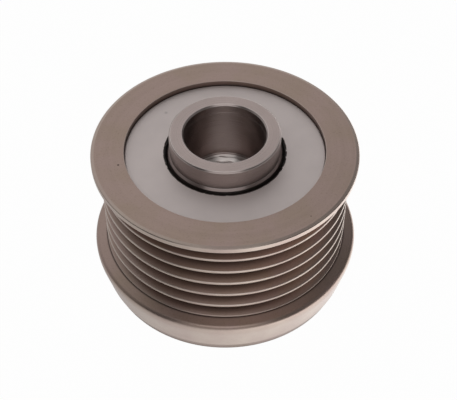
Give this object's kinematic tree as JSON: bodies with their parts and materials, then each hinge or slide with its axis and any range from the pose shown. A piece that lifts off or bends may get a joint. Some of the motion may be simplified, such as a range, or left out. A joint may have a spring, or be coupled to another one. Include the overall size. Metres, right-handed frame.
{
  "type": "overrunning alternator pulley",
  "caption": "Ribbed belt pulley on a one-way clutch hub with a stepped, threaded and splined bore; the sleeve runs on caged roller bearings.",
  "frame": {"origin": "on the axis of rotation, in the plane of the front rim that the pulley rests on", "axes": "+Z along the axis of rotation, towards the alternator; X and Y are across it"},
  "size_m": [0.0572, 0.0572, 0.0375],
  "materials": {
    "turned_steel": "satin brown-grey turned steel",
    "hub_steel": "fine ground steel",
    "plate_steel": "matt grey coated sheet steel",
    "seal_rubber": "black nitrile rubber",
    "bearing_steel": "ground bearing steel",
    "cage_nylon": "glass filled nylon",
    "spring_steel": "bright spring strip"
  },
  "bodies": {
    "hub": {"hub": "hub_steel", "rear_bearing_inner_ring": "bearing_steel", "front_bearing_inner_ring": "bearing_steel", "clutch_cam": "bearing_steel", "clutch_cage": "cage_nylon", "clutch_spring_1": "spring_steel", "clutch_spring_2": "spring_steel", "clutch_spring_3": "spring_steel", "clutch_spring_4": "spring_steel", "clutch_spring_5": "spring_steel", "clutch_spring_6": "spring_steel", "clutch_spring_7": "spring_steel", "clutch_spring_8": "spring_steel"},
    "pulley": {"pulley_sleeve": "turned_steel", "rear_seal_plate": "plate_steel", "rear_seal_lip": "seal_rubber", "front_seal_plate": "plate_steel", "front_seal_lip": "seal_rubber", "rear_bearing_outer_ring": "bearing_steel", "front_bearing_outer_ring": "bearing_steel", "clutch_outer_race": "bearing_steel"},
    "rear_cage": {"rear_bearing_cage": "cage_nylon", "rear_bearing_roller_01": "bearing_steel", "rear_bearing_roller_02": "bearing_steel", "rear_bearing_roller_03": "bearing_steel", "rear_bearing_roller_04": "bearing_steel", "rear_bearing_roller_05": "bearing_steel", "rear_bearing_roller_06": "bearing_steel", "rear_bearing_roller_07": "bearing_steel", "rear_bearing_roller_08": "bearing_steel", "rear_bearing_roller_09": "bearing_steel", "rear_bearing_roller_10": "bearing_steel", "rear_bearing_roller_11": "bearing_steel", "rear_bearing_roller_12": "bearing_steel"},
    "front_cage": {"front_bearing_cage": "cage_nylon", "front_bearing_roller_01": "bearing_steel", "front_bearing_roller_02": "bearing_steel", "front_bearing_roller_03": "bearing_steel", "front_bearing_roller_04": "bearing_steel", "front_bearing_roller_05": "bearing_steel", "front_bearing_roller_06": "bearing_steel", "front_bearing_roller_07": "bearing_steel", "front_bearing_roller_08": "bearing_steel", "front_bearing_roller_09": "bearing_steel", "front_bearing_roller_10": "bearing_steel", "front_bearing_roller_11": "bearing_steel", "front_bearing_roller_12": "bearing_steel"},
    "clutch_rollers": {"clutch_roller_1": "bearing_steel", "clutch_roller_2": "bearing_steel", "clutch_roller_3": "bearing_steel", "clutch_roller_4": "bearing_steel", "clutch_roller_5": "bearing_steel", "clutch_roller_6": "bearing_steel", "clutch_roller_7": "bearing_steel", "clutch_roller_8": "bearing_steel"}
  },
  "joints": [
    {"name": "pulley_spin", "type": "hinge", "parent": "hub", "child": "pulley", "pos_m": [0, 0, 0.019], "axis": [0, 0, 1], "continuous": true},
    {"name": "rear_cage_orbit", "type": "hinge", "parent": "hub", "child": "rear_cage", "pos_m": [0, 0, 0.02704], "axis": [0, 0, 1], "continuous": true},
    {"name": "front_cage_orbit", "type": "hinge", "parent": "hub", "child": "front_cage", "pos_m": [0, 0, 0.01], "axis": [0, 0, 1], "continuous": true},
    {"name": "clutch_release", "type": "hinge", "parent": "hub", "child": "clutch_rollers", "pos_m": [0, 0, 0.01852], "axis": [0, 0, 1], "range_deg": [-4, 0], "stiffness_Nm_per_rad": 0.1, "springref_deg": 8.59, "deforming": ["clutch_spring_1", "clutch_spring_2", "clutch_spring_3", "clutch_spring_4", "clutch_spring_5", "clutch_spring_6", "clutch_spring_7", "clutch_spring_8"]}
  ],
  "couplings": [
    {"joint": "rear_cage_orbit", "follows": "pulley_spin", "ratio": 0.564},
    {"joint": "front_cage_orbit", "follows": "pulley_spin", "ratio": 0.564}
  ]
}
